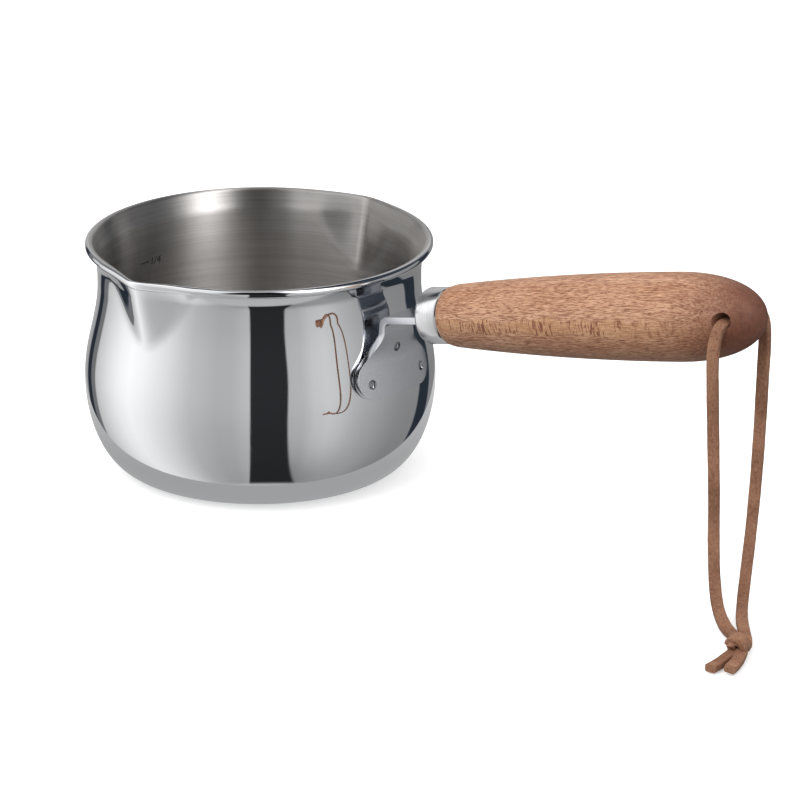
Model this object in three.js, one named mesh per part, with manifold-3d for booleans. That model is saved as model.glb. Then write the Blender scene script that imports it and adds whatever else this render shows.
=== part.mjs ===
// A small stainless steel pouring pot with a turned wooden handle and a leather hanging lace.
//
// Millimetres, +Z up. The origin is the middle of the pot's flat base. The handle runs out over +X,
// and the two pouring lips point along +Y and -Y, so that the pot pours for either hand.

import * as THREE from 'three';
import { mergeVertices } from 'three/addons/utils/BufferGeometryUtils.js';
import Module from 'manifold-3d';

const wasm = await Module();
wasm.setup();

const GAP = 0.3; // clearance between pieces that touch on the real pot

// Pot: one deep-drawn sheet, a round belly under a narrower waist and a flared, rolled rim.
const POT_HEIGHT = 61.2;
const SHEET = 0.8;
const BASE_FLAT_RADIUS = 33;
const BELLY_RADIUS = 46;
const BELLY_HEIGHT = 24.5;
const WAIST_RADIUS = 42.2;
const WAIST_HEIGHT = 50;
const FLARE = 1.9;
const FLARE_POWER = 3;
const BEAD_RADIUS = 1.1;
const RIM_RADIUS = 45.3;
const WALL_TOP = POT_HEIGHT - 2.1 * BEAD_RADIUS;
const INNER_TOP = POT_HEIGHT - 3.1 * BEAD_RADIUS; // above it the inner face curves over the rim
const POT_SECTORS = 72;

// Pouring lips: the wall is pinched outwards to a crease that starts low and leans out to the rim.
// Both lips are turned half a sector away from the handle.
const LIP_TURN = Math.PI / POT_SECTORS;
const LIP_HALF_ANGLE = THREE.MathUtils.degToRad(20);
const LIP_SPREAD = 0.7; // power at which the V on the wall opens upwards
const LIP_BLEND = 0.5;
const LIP_FADE = 0.3; // how steeply a facet leaves the wall beyond the V
const CREASE_BOTTOM = 41.2;
const CREASE_TOP_RADIUS = 47.7;
const CREASE_SOFTNESS = 0.05; // radians over which the crease is rounded
const LIP_DROP = 0.6;

// Handle axis: it starts at the ferrule's open end and rises away from the pot.
const HANDLE_START = new THREE.Vector3(64.3, 0, 53.35);
const HANDLE_ANGLE = THREE.MathUtils.degToRad(11.7);

// Grip: a swelling turned shape with a blunt round end.
const GRIP_LENGTH = 97.2;
const GRIP_START_RADIUS = 7.8;
const GRIP_SHOULDER = 3; // length over which the grip rises from the ferrule
const GRIP_SHOULDER_DROP = 0.5;
const GRIP_RADIUS = 11.05;
const GRIP_SWELL = 72; // length over which the grip swells
const GRIP_END_POWER = 2.2;
const GRIP_SECTORS = 40;
const SPIGOT_RADIUS = 6.2;
const SPIGOT_LENGTH = 5.4;

// Cross hole for the lace.
const HOLE_RADIUS = 2.2;
const HOLE_ALONG = 90.5;
const HOLE_ABOVE_AXIS = 0.8;

// Ferrule: a cup with a bevelled closed end, turned towards the pot.
const FERRULE_LENGTH = 7;
const FERRULE_RADIUS = 7.3;
const FERRULE_WALL = 0.8;
const FERRULE_END = 1;
const FERRULE_BEVEL = 0.9;

// Bracket: a stamped plate that hugs the belly, with a tongue bent out along the handle's axis.
const PLATE = 1.8;
const PLATE_OFFSET = 0.35;
const NECK_STANDOFF = 2.4;
const PLATE_BOTTOM = 29.1;
const LOBE_RADIUS = 5.2;
const LOBE_SIDE = 8.7;
const NECK_HALF = 5.8;
const NECK_BOTTOM = 45;
const BEND_RADIUS = 1.4;
const TANG_HALF = 3;
const TANG_LENGTH = 38; // inside the wood, from the grip's shoulder

// Spot welds: two low ones and one high one, each a dished disc in the plate.
const WELD_RADIUS = 1.3;
const WELD_PLACES = [
  { side: -9.5, height: 33.4 },
  { side: 9.5, height: 33.4 },
  { side: 0.3, height: 41.1 },
];

// Lace: a leather strip, doubled through the cross hole, knotted, and laid on the table.
const LACE_RADIUS = 1.2;
const LACE_SIDES = 8;
const LACE_STEPS = 72;
const KNOT_CENTRE = new THREE.Vector3(177.8, -33.2, 3.3);
const KNOT_RADIUS = 3.2;
const TAIL_STEPS = 5;

const steel = { metalness: 1, roughness: 0.12, color: 0xc9cbcc };
const brushed = { metalness: 1, roughness: 0.38, color: 0xb4b4b2 };
const wood = { metalness: 0, roughness: 0.6, color: 0xa8673f };
const leather = { metalness: 0, roughness: 0.85, color: 0x9b6a45 };

const pot = new THREE.Group();

function addPiece(parent, name, geometry, finish) {
  const piece = new THREE.Mesh(geometry, new THREE.MeshStandardMaterial(finish));
  piece.name = name;
  parent.add(piece);
  return piece;
}

// ---------------------------------------------------------------- joining and cutting

function toSolid(geometry) {
  const plain = geometry.clone();
  plain.deleteAttribute('normal');
  plain.deleteAttribute('uv');
  const merged = mergeVertices(plain, 1e-4);
  const index = merged.index.array;
  const corners = [];
  for (let i = 0; i < index.length; i += 3) {
    const [a, b, c] = [index[i], index[i + 1], index[i + 2]];
    if (a !== b && b !== c && c !== a) corners.push(a, b, c);
  }
  return new wasm.Manifold(new wasm.Mesh({
    numProp: 3,
    vertProperties: Float32Array.from(merged.attributes.position.array),
    triVerts: Uint32Array.from(corners),
  }));
}

function toGeometry(solid) {
  const mesh = solid.getMesh();
  const geometry = new THREE.BufferGeometry();
  geometry.setAttribute('position', new THREE.BufferAttribute(mesh.vertProperties, 3));
  geometry.setIndex(new THREE.BufferAttribute(mesh.triVerts, 1));
  geometry.computeVertexNormals();
  return geometry;
}

// A turned shape: profile points are (radius, distance along the axis).
function turned(profile, sectors) {
  return new THREE.LatheGeometry(profile.map(([r, s]) => new THREE.Vector2(r, s)), sectors);
}

// Turned about Z, with the first sector's edge on the Y axis.
function turnedUp(profile, sectors) {
  return turned(profile, sectors).rotateX(Math.PI / 2);
}

// Turned about the handle's own X axis.
function turnedAlong(profile, sectors) {
  return turned(profile, sectors).rotateZ(-Math.PI / 2);
}

// ---------------------------------------------------------------- pot

// Outer radius of the round wall at a height, before the lips are pinched out.
function wallRadius(z) {
  if (z < BELLY_HEIGHT) {
    const down = (BELLY_HEIGHT - z) / BELLY_HEIGHT;
    return BASE_FLAT_RADIUS + (BELLY_RADIUS - BASE_FLAT_RADIUS) * Math.sqrt(1 - down * down);
  }
  if (z < WAIST_HEIGHT) {
    const up = (z - BELLY_HEIGHT) / (WAIST_HEIGHT - BELLY_HEIGHT);
    return WAIST_RADIUS + (BELLY_RADIUS - WAIST_RADIUS) * (1 + Math.cos(Math.PI * up)) / 2;
  }
  const up = (z - WAIST_HEIGHT) / (POT_HEIGHT - WAIST_HEIGHT);
  return WAIST_RADIUS + FLARE * up ** FLARE_POWER;
}

// How far a lip pushes out a wall of one radius, at an angle from the lip's middle: a flat facet
// runs on each side from the crease to the V that the lip draws on the wall.
function facetPush(angle, round, crease, half) {
  if (half < 1e-3) return 0;
  const soft = Math.sqrt(angle * angle + CREASE_SOFTNESS ** 2) - CREASE_SOFTNESS / 2;
  const near = Math.min(soft, half);
  const slope = (1 / round - Math.cos(half) / crease) / Math.sin(half);
  const facet = 1 / (Math.cos(near) / crease + slope * Math.sin(near));
  const over = facet - round - LIP_FADE * round * (soft - near);
  const blend = Math.max(0, 1 - Math.abs(over) / LIP_BLEND);
  return Math.max(0, over) + (blend * blend * LIP_BLEND) / 4;
}

function wallPush(angle, z) {
  if (z <= CREASE_BOTTOM) return 0;
  const up = (z - CREASE_BOTTOM) / (POT_HEIGHT - CREASE_BOTTOM);
  const crease = THREE.MathUtils.lerp(wallRadius(CREASE_BOTTOM), CREASE_TOP_RADIUS, up);
  return facetPush(angle, wallRadius(z), crease, LIP_HALF_ANGLE * up ** LIP_SPREAD);
}

// Above the wall the push fades from the wall's own to the rim's, so that the rolled rim thins out
// towards the lip's tip.
function lipMove(angle, radius, z) {
  const rim = facetPush(angle, RIM_RADIUS, CREASE_TOP_RADIUS, LIP_HALF_ANGLE);
  const wall = wallPush(angle, Math.min(z, WALL_TOP));
  const start = wallRadius(WALL_TOP);
  const share = z > WALL_TOP ? THREE.MathUtils.clamp((radius - start) / (RIM_RADIUS - start), 0, 1) : 0;
  const top = Math.max(0, (z - WAIST_HEIGHT) / (POT_HEIGHT - WAIST_HEIGHT));
  return {
    out: THREE.MathUtils.lerp(wall, rim, share),
    drop: (LIP_DROP * top * top * rim) / (CREASE_TOP_RADIUS - RIM_RADIUS),
  };
}

function potProfile() {
  const outer = [];
  const lowSteps = 8;
  for (let i = 0; i <= lowSteps; i++) {
    const a = (Math.PI / 2) * (i / lowSteps);
    outer.push([
      BASE_FLAT_RADIUS + (BELLY_RADIUS - BASE_FLAT_RADIUS) * Math.sin(a),
      BELLY_HEIGHT * (1 - Math.cos(a)),
    ]);
  }
  const highSteps = 12;
  for (let i = 1; i <= highSteps; i++) {
    const z = THREE.MathUtils.lerp(BELLY_HEIGHT, WALL_TOP, i / highSteps);
    outer.push([wallRadius(z), z]);
  }

  const bead = [];
  const beadSteps = 8;
  for (let i = 0; i <= beadSteps; i++) {
    const a = THREE.MathUtils.degToRad(THREE.MathUtils.lerp(-120, 160, i / beadSteps));
    bead.push([
      RIM_RADIUS - BEAD_RADIUS + BEAD_RADIUS * Math.cos(a),
      POT_HEIGHT - BEAD_RADIUS + BEAD_RADIUS * Math.sin(a),
    ]);
  }

  // The inner face is the outer one moved in by the sheet's thickness, square to the wall.
  const inner = outer.map(([r, z], i) => {
    const before = outer[Math.max(0, i - 1)];
    const after = outer[Math.min(outer.length - 1, i + 1)];
    const along = new THREE.Vector2(after[0] - before[0], after[1] - before[1]).normalize();
    return i === 0 ? [r, SHEET] : [r - SHEET * along.y, z + SHEET * along.x];
  }).filter(([, z]) => z < INNER_TOP);
  return [[0, 0], ...outer, ...bead, ...inner.reverse(), [0, SHEET]];
}

function potGeometry() {
  const geometry = turnedUp(potProfile(), POT_SECTORS).rotateZ(LIP_TURN);
  const place = geometry.attributes.position;
  for (let i = 0; i < place.count; i++) {
    const x = place.getX(i);
    const y = place.getY(i);
    const z = place.getZ(i);
    const radius = Math.hypot(x, y);
    if (radius < 1) continue;
    const angle = Math.atan2(x, Math.abs(y)) + LIP_TURN;
    const { out, drop } = lipMove(angle, radius, z);
    const grown = (radius + out) / radius;
    place.setXYZ(i, x * grown, y * grown, z - drop);
  }
  return geometry;
}

// ---------------------------------------------------------------- handle frame

const handle = new THREE.Group();
handle.position.copy(HANDLE_START);
handle.rotation.y = -HANDLE_ANGLE;

function gripRadius(s) {
  if (s < GRIP_SWELL) {
    const left = 1 - s / GRIP_SWELL;
    const short = Math.max(0, 1 - s / GRIP_SHOULDER);
    const swell = (GRIP_RADIUS - GRIP_START_RADIUS) * (1 - left * left);
    return GRIP_START_RADIUS + swell - GRIP_SHOULDER_DROP * short * short;
  }
  const out = (s - GRIP_SWELL) / (GRIP_LENGTH - GRIP_SWELL);
  return GRIP_RADIUS * Math.max(0, 1 - out ** GRIP_END_POWER) ** (1 / GRIP_END_POWER);
}

function slotBox(from, to, halfWidth) {
  const box = new THREE.BoxGeometry(to - from, 2 * (halfWidth + GAP), PLATE + 2 * GAP);
  return toSolid(box.translate((from + to) / 2, 0, 0));
}

function gripGeometry() {
  const profile = [[0, -SPIGOT_LENGTH], [SPIGOT_RADIUS, -SPIGOT_LENGTH], [SPIGOT_RADIUS, GAP]];
  profile.push([gripRadius(GAP), GAP]);
  const swellSteps = 12;
  for (let i = 0; i < swellSteps; i++) {
    const s = THREE.MathUtils.lerp(GRIP_SHOULDER / 2, GRIP_SWELL, i / swellSteps);
    profile.push([gripRadius(s), s]);
  }
  const endSteps = 9;
  for (let i = 0; i < endSteps; i++) {
    const s = GRIP_SWELL + (GRIP_LENGTH - GRIP_SWELL) * Math.sin((Math.PI / 2) * (i / endSteps));
    profile.push([gripRadius(s), s]);
  }
  profile.push([0, GRIP_LENGTH]);

  const hole = new THREE.CylinderGeometry(HOLE_RADIUS, HOLE_RADIUS, 4 * GRIP_RADIUS, 20);
  hole.translate(HOLE_ALONG, 0, HOLE_ABOVE_AXIS);
  const slot = slotBox(-SPIGOT_LENGTH - 1, TANG_LENGTH + 1, TANG_HALF);
  return toGeometry(toSolid(turnedAlong(profile, GRIP_SECTORS)).subtract(toSolid(hole)).subtract(slot));
}

function ferruleGeometry() {
  const inside = FERRULE_RADIUS - FERRULE_WALL;
  const profile = [
    [0, -FERRULE_LENGTH],
    [FERRULE_RADIUS - FERRULE_BEVEL, -FERRULE_LENGTH],
    [FERRULE_RADIUS - FERRULE_BEVEL / 3, -FERRULE_LENGTH + FERRULE_BEVEL / 3],
    [FERRULE_RADIUS, -FERRULE_LENGTH + FERRULE_BEVEL],
    [FERRULE_RADIUS, 0],
    [inside, 0],
    [inside, -FERRULE_LENGTH + FERRULE_END],
    [0, -FERRULE_LENGTH + FERRULE_END],
  ];
  const slot = slotBox(-FERRULE_LENGTH - 1, -FERRULE_LENGTH + 2 * FERRULE_END, NECK_HALF);
  return toGeometry(toSolid(turnedAlong(profile, GRIP_SECTORS)).subtract(slot));
}

// ---------------------------------------------------------------- bracket

function plateRadius(z) {
  const up = THREE.MathUtils.smoothstep(z, NECK_BOTTOM - 7, NECK_BOTTOM + 3);
  return wallRadius(z) + PLATE_OFFSET + NECK_STANDOFF * up;
}

// The plate's outline, seen from the handle's end: two round lobes, hollow flanks and a neck.
function plateOutline() {
  const lobeHeight = PLATE_BOTTOM + LOBE_RADIUS;
  const shape = new THREE.Shape();
  shape.moveTo(-LOBE_SIDE, PLATE_BOTTOM);
  shape.lineTo(LOBE_SIDE, PLATE_BOTTOM);
  shape.absarc(LOBE_SIDE, lobeHeight, LOBE_RADIUS, -Math.PI / 2, Math.PI / 4, false);
  shape.quadraticCurveTo(NECK_HALF + 0.4, NECK_BOTTOM - 2, NECK_HALF, NECK_BOTTOM + 1);
  shape.lineTo(NECK_HALF, NECK_BOTTOM + 2);
  shape.lineTo(-NECK_HALF, NECK_BOTTOM + 2);
  shape.lineTo(-NECK_HALF, NECK_BOTTOM + 1);
  const flankX = -LOBE_SIDE - LOBE_RADIUS * Math.SQRT1_2;
  const flankZ = lobeHeight + LOBE_RADIUS * Math.SQRT1_2;
  shape.quadraticCurveTo(-NECK_HALF - 0.4, NECK_BOTTOM - 2, flankX, flankZ);
  shape.absarc(-LOBE_SIDE, lobeHeight, LOBE_RADIUS, (3 * Math.PI) / 4, (3 * Math.PI) / 2, false);
  return shape;
}

// A prism standing on the YZ plane, reaching out along +X.
function prismAlongX(shape, from, depth) {
  const prism = new THREE.ExtrudeGeometry(shape, { depth, bevelEnabled: false, curveSegments: 6 });
  prism.rotateX(Math.PI / 2).rotateZ(Math.PI / 2);
  return toSolid(prism.translate(from, 0, 0));
}

// The bent tongue, drawn in the XZ plane: up the neck, round the bend, then along the handle.
function tongueProfile() {
  const face = plateRadius(NECK_BOTTOM) + PLATE;
  const axisRise = Math.tan(HANDLE_ANGLE);
  const lift = -(HANDLE_START.x - face - BEND_RADIUS) * axisRise;
  const centre = new THREE.Vector2(
    face + BEND_RADIUS,
    HANDLE_START.z + lift - (BEND_RADIUS + PLATE / 2) / Math.cos(HANDLE_ANGLE),
  );
  const along = new THREE.Vector2(Math.cos(HANDLE_ANGLE), Math.sin(HANDLE_ANGLE));
  const turnEnd = Math.PI / 2 + HANDLE_ANGLE;
  const reach = HANDLE_START.x - centre.x + TANG_LENGTH;
  const under = centre.clone().add(new THREE.Vector2(Math.cos(turnEnd), Math.sin(turnEnd))
    .multiplyScalar(BEND_RADIUS)).addScaledVector(along, reach);
  const shape = new THREE.Shape();
  shape.moveTo(face - PLATE, NECK_BOTTOM);
  shape.lineTo(face - PLATE, centre.y);
  shape.absarc(centre.x, centre.y, BEND_RADIUS + PLATE, Math.PI, turnEnd, true);
  shape.lineTo(under.x - PLATE * along.y, under.y + PLATE * along.x);
  shape.lineTo(under.x, under.y);
  shape.absarc(centre.x, centre.y, BEND_RADIUS, turnEnd, Math.PI, false);
  shape.lineTo(face, NECK_BOTTOM);
  return shape;
}

// The tongue's outline from above: as wide as the neck up to the ferrule, then a narrow pointed tang.
function tonguePlan() {
  const start = BELLY_RADIUS / 2;
  const shoulder = HANDLE_START.x - FERRULE_LENGTH + FERRULE_END - GAP;
  const end = HANDLE_START.x + TANG_LENGTH;
  const shape = new THREE.Shape();
  shape.moveTo(start, -NECK_HALF);
  shape.lineTo(shoulder, -NECK_HALF);
  shape.lineTo(shoulder + GAP, -TANG_HALF);
  shape.lineTo(end - 2 * TANG_HALF, -TANG_HALF);
  shape.lineTo(end, 0);
  shape.lineTo(end - 2 * TANG_HALF, TANG_HALF);
  shape.lineTo(shoulder + GAP, TANG_HALF);
  shape.lineTo(shoulder, NECK_HALF);
  shape.lineTo(start, NECK_HALF);
  return shape;
}

function bracketGeometry() {
  const steps = 12;
  const inner = [];
  const outer = [];
  for (let i = 0; i <= steps; i++) {
    const z = THREE.MathUtils.lerp(PLATE_BOTTOM - 1, NECK_BOTTOM + 4, i / steps);
    inner.push([plateRadius(z), z]);
    outer.push([plateRadius(z) + PLATE, z]);
  }
  const ring = toSolid(turnedUp([...outer, ...inner.reverse(), outer[0]], POT_SECTORS));
  const plate = ring.intersect(prismAlongX(plateOutline(), BELLY_RADIUS / 2, BELLY_RADIUS));

  const width = 2 * BELLY_RADIUS;
  const bar = new THREE.ExtrudeGeometry(tongueProfile(), {
    depth: width, bevelEnabled: false, curveSegments: 6,
  });
  bar.rotateX(Math.PI / 2).translate(0, width / 2, 0);
  const plan = new THREE.ExtrudeGeometry(tonguePlan(), { depth: 2 * POT_HEIGHT, bevelEnabled: false });
  const tongue = toSolid(bar).intersect(toSolid(plan));

  let bracket = plate.add(tongue);
  for (const place of WELD_PLACES) {
    const hole = new THREE.CylinderGeometry(WELD_RADIUS + GAP, WELD_RADIUS + GAP, 12, 16);
    bracket = bracket.subtract(toSolid(placeOnWall(hole, place, PLATE / 2)));
  }
  return toGeometry(bracket);
}

// Stands a piece whose own axis is Y square to the plate at one weld's place.
function placeOnWall(geometry, { side, height }, out) {
  const lean = Math.atan2(plateRadius(height - 1) - plateRadius(height + 1), 2);
  geometry.rotateZ(-Math.PI / 2).rotateY(-lean);
  geometry.translate(plateRadius(height) + out, 0, height);
  return geometry.rotateZ(side / plateRadius(height));
}

function weldGeometry(place) {
  const half = PLATE / 2 - 0.1;
  const dish = 0.35;
  const disc = turned([
    [0, -half], [WELD_RADIUS, -half], [WELD_RADIUS, half], [WELD_RADIUS * 0.8, half], [0, half - dish],
  ], 16);
  return placeOnWall(disc, place, PLATE / 2);
}

// ---------------------------------------------------------------- lace

// From the knot up the near leg, through the cross hole, and down the far leg to the knot again.
const LACE_ROUTE = [
  [175.8, -29.0, 1.4],
  [171.5, -25.6, 1.3],
  [166.0, -22.0, 1.5],
  [161.1, -18.2, 3.8],
  [157.6, -14.9, 9.0],
  [155.3, -12.4, 17.5],
  [154.1, -11.0, 29.0],
  [153.3, -10.6, 42.0],
  [152.9, -10.9, 54.0],
  [152.8, -11.4, 63.5],
  [152.8, -11.6, 67.6],
  [152.8, -10.9, 70.5],
  [152.8, -9.0, 72.1],
  [152.8, -6.0, 72.4],
  [152.8, 0, 72.4],
  [152.8, 6.0, 72.4],
  [152.8, 9.0, 72.1],
  [152.8, 10.9, 70.5],
  [152.8, 11.6, 67.6],
  [152.8, 11.4, 63.5],
  [152.9, 10.6, 54.0],
  [153.4, 9.0, 42.0],
  [154.3, 6.4, 29.0],
  [155.7, 2.8, 17.0],
  [158.0, -2.2, 8.0],
  [161.5, -8.4, 2.9],
  [166.1, -15.2, 1.4],
  [171.2, -21.4, 1.3],
  [176.8, -27.4, 1.4],
];

const TAIL_ROUTES = [
  [[177.8, -37.0, 1.5], [178.2, -41.0, 1.3], [178.4, -45.6, 1.3]],
  [[180.4, -36.0, 1.5], [182.2, -39.8, 1.3], [183.4, -43.8, 1.3]],
];

function tubeGeometry(route, steps) {
  const section = new THREE.Shape();
  section.absarc(0, 0, LACE_RADIUS, 0, 2 * Math.PI, false);
  const path = new THREE.CatmullRomCurve3(route.map((p) => new THREE.Vector3(...p)));
  // an arc is drawn with two points to a curve segment
  return new THREE.ExtrudeGeometry(section, { steps, extrudePath: path, curveSegments: LACE_SIDES / 2 });
}

// The knot's outer shape: a squat ball, a little longer across the strip.
function knotGeometry() {
  const ball = new THREE.SphereGeometry(KNOT_RADIUS, 16, 10);
  ball.scale(1.05, 1, 0.95);
  return ball.translate(KNOT_CENTRE.x, KNOT_CENTRE.y, KNOT_CENTRE.z);
}

// ---------------------------------------------------------------- assembly

addPiece(pot, 'pot_body', potGeometry(), steel);
addPiece(pot, 'handle_bracket', bracketGeometry(), brushed);
WELD_PLACES.forEach((place, i) => {
  addPiece(pot, `spot_weld_${i + 1}`, weldGeometry(place), brushed);
});
addPiece(handle, 'ferrule', ferruleGeometry(), brushed);
addPiece(handle, 'wooden_grip', gripGeometry(), wood);
addPiece(pot, 'lace', tubeGeometry(LACE_ROUTE, LACE_STEPS), leather);
addPiece(pot, 'lace_knot', knotGeometry(), leather);
TAIL_ROUTES.forEach((route, i) => {
  addPiece(pot, `lace_tail_${i + 1}`, tubeGeometry(route, TAIL_STEPS), leather);
});
pot.add(handle);

export default pot;
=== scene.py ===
"""Looks of a small steel pouring pot with a wooden handle and a leather hanging lace.

Metres, +Z up. The origin is the middle of the pot's flat base, the handle runs out over +X,
and the pouring lips point along +Y and -Y. Sizes are in millimetres where MM stands beside them.
"""

import math

import bmesh
import bpy
import numpy as np
from mathutils import Matrix, Vector


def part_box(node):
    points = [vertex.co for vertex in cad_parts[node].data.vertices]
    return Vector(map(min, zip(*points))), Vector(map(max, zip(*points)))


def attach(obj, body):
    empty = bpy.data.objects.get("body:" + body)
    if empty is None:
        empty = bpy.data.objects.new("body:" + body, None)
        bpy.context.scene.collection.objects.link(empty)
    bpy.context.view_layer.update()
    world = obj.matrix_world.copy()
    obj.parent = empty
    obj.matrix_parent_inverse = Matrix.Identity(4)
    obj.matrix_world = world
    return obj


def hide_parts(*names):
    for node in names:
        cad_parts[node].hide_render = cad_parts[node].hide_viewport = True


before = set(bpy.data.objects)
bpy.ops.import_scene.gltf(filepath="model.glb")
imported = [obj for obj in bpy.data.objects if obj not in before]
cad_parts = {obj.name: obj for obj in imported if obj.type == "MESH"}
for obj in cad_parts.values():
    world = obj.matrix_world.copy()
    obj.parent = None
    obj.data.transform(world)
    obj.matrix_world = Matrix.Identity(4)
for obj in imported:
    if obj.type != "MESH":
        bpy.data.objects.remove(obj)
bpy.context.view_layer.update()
MM = 0.001
scene = bpy.context.scene

# ---------- sizes

# pot: base, belly, waist, flare and rolled rim
POT_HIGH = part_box("pot_body")[1]
POT_HEIGHT = POT_HIGH.z
BELLY_RADIUS = POT_HIGH.x
SHEET = 0.8 * MM
BASE_FLAT_RADIUS = 33 * MM
BELLY_HEIGHT = 24.5 * MM
WAIST_RADIUS = 42.2 * MM
WAIST_HEIGHT = 50 * MM
FLARE = 1.9 * MM
FLARE_POWER = 3
CURL_FROM = 55.2 * MM  # where the wall starts to turn out under the bead
CURL_TO = 56.4 * MM
CURL_SLOPE = 0.30
BEAD_RADIUS = 1.1 * MM
RIM_RADIUS = 45.3 * MM
WALL_TOP = POT_HEIGHT - 2.1 * BEAD_RADIUS
INNER_TOP = POT_HEIGHT - 3.1 * BEAD_RADIUS  # where the bead takes over from the inner face
POT_SECTORS = 288

# pouring lips
LIP_TURN = math.radians(2.5)
LIP_HALF_ANGLE = math.radians(20)
LIP_SPREAD = 0.7  # power with which the V on the wall opens upwards
LIP_BLEND = 0.5 * MM
LIP_FADE = 0.3  # how fast a facet sinks back into the wall beyond the V
LIP_DROP = 0.6 * MM
CREASE_BOTTOM = 41.2 * MM
CREASE_TOP_RADIUS = 47.7 * MM
CREASE_SOFTNESS = 0.05  # radians over which the crease is rounded
RIM_BRUSHED_TO = 0.2  # outward lean of the rim's faces up to which they are brushed

# handle: HANDLE_START is the middle of the ferrule's mouth
HANDLE_START = Vector((64.3, 0, 53.35)) * MM
HANDLE_ANGLE = math.radians(11.7)
GRIP_LENGTH = 97.2 * MM
GRIP_START_RADIUS = 7.8 * MM
GRIP_SHOULDER = 3 * MM  # length over which the grip rises from the ferrule
GRIP_SHOULDER_DROP = 0.5 * MM
GRIP_RADIUS = 11.05 * MM
GRIP_SWELL = 72 * MM  # length over which the grip swells
GRIP_END_POWER = 2.2
GRIP_GAP = 0.12 * MM  # between the grip's shoulder and the ferrule's mouth
GRIP_CORNER = (0.25 * MM, 0.2 * MM)  # cut off the shoulder's edge: across, along
SPIGOT_RADIUS = 6.2 * MM
SPIGOT_LENGTH = 5.4 * MM
HOLE_RADIUS = 2.2 * MM
HOLE_ALONG = 90.5 * MM
HOLE_ABOVE_AXIS = 0.8 * MM
HOLE_ROUNDING = 0.18 * MM

# wood: the band of flecks runs below the grip's axis, and the blunt end gets darker
FLECK_DROP = 0.5 * MM
FLECK_HALF = 1.9 * MM
DARK_END_START = 78 * MM
DARK_END_FULL = 102 * MM

# ferrule
FERRULE_LENGTH = 7 * MM
FERRULE_RADIUS = 7.3 * MM
FERRULE_WALL = 0.8 * MM
FERRULE_END = 1 * MM
FERRULE_BEVEL = 0.9 * MM
# the rounded edge of its mouth: (distance in from the outside, distance from the mouth)
MOUTH_EDGE = [(0, -0.55 * MM), (0.08 * MM, -0.35 * MM), (0.30 * MM, -0.02 * MM)]
SLOT_GAP = 0.3 * MM

# bracket
PLATE = 1.8 * MM
PLATE_OFFSET = 0.35 * MM
NECK_STANDOFF = 2.4 * MM
PLATE_BOTTOM = 29.1 * MM
LOBE_RADIUS = 5.2 * MM
LOBE_SIDE = 8.7 * MM
NECK_HALF = 5.8 * MM
NECK_BOTTOM = 45 * MM
PLATE_TOP = NECK_BOTTOM + 1 * MM  # where the plate bends out into the tongue
BEND_RADIUS = 1.4 * MM
EDGE_ROUNDING = 0.28 * MM

# welds: (distance round the wall, height) of each
WELD_PLACES = [(-9.5 * MM, 33.4 * MM), (9.5 * MM, 33.4 * MM), (0.3 * MM, 41.1 * MM)]
WELD_RADIUS = 1.25 * MM
WELD_DEPTH = 0.8 * MM
WELD_GAP = 0.01 * MM
# a weld's dished face: (share of its radius, depth) from the middle to the edge
WELD_DISH = [
    (0, 0.42 * MM), (0.18, 0.46 * MM), (0.42, 0.55 * MM), (0.62, 0.50 * MM), (0.82, 0.28 * MM),
    (0.95, 0.06 * MM), (1, 0.10 * MM),
]
# painted shade: the welds' steel colour is multiplied by this so that their dished cups look shaded
WELD_PAINTED_SHADE = 0.5

# lace
STRIP_WIDTH = 2.9 * MM
STRIP_THICKNESS = 2.0 * MM
STRIP_CORNER = 0.45 * MM
STRIP_STEP = 0.7 * MM  # length between two of a strip's sections
KNOT_STRIP_WIDTH = 2.7 * MM
KNOT_STRIP_THICKNESS = 1.6 * MM

# volume mark
MARK_LOW = 44.2 * MM
MARK_HEIGHT = 2.1 * MM
MARK_FONT = 1.42  # font size in heights of a figure
MARK_RELIEF = 0.02 * MM
MARK_ANGLE = math.radians(174.8)
TICK_CORNERS = [(-0.4, 0.9), (-3.6, 0.9), (-3.6, 1.25), (-0.4, 1.25)]


# ---------- camera

VIEW_AZIMUTH = math.radians(39)
VIEW_ELEVATION = math.radians(19.5)
VIEW_DISTANCE = 1.359
VIEW_HEIGHT = 36.2 * MM
VIEW_RIGHT = 36.6 * MM  # from there the point looked at is moved right and down in the picture
VIEW_DOWN = 18.7 * MM
LENS = 233.9
SENSOR = 36


def make_camera():
    """A long lens at the photo's angle: the handle runs off to the viewer's right."""
    a, e = VIEW_AZIMUTH, VIEW_ELEVATION
    back = Vector((math.sin(a) * math.cos(e), -math.cos(a) * math.cos(e), math.sin(e)))
    right = Vector((math.cos(a), math.sin(a), 0))
    up = back.cross(right)
    target = Vector((0, 0, VIEW_HEIGHT)) + right * VIEW_RIGHT - up * VIEW_DOWN
    data = bpy.data.cameras.new("camera")
    data.lens = LENS
    data.sensor_width = SENSOR
    data.clip_start = 0.01
    data.clip_end = 50
    camera = bpy.data.objects.new("camera", data)
    camera.location = target + back * VIEW_DISTANCE
    camera.rotation_mode = "QUATERNION"
    camera.rotation_quaternion = (-back).to_track_quat("-Z", "Y")
    scene.collection.objects.link(camera)
    scene.camera = camera


make_camera()


# ---------- small tools


def smoothstep(x, low, high):
    """0 below low, 1 above high, and an even rise between them."""
    t = np.clip((np.asarray(x, float) - low) / (high - low), 0, 1)
    return t * t * (3 - 2 * t)


def link(name, mesh):
    piece = bpy.data.objects.new(name, mesh)
    scene.collection.objects.link(piece)
    return piece


def mesh_piece(name, points, faces, smooth=True):
    mesh = bpy.data.meshes.new(name)
    mesh.from_pydata([tuple(p) for p in points], [], [tuple(f) for f in faces])
    mesh.validate()
    mesh.update()
    mesh.polygons.foreach_set("use_smooth", [smooth] * len(mesh.polygons))
    return link(name, mesh)


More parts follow.
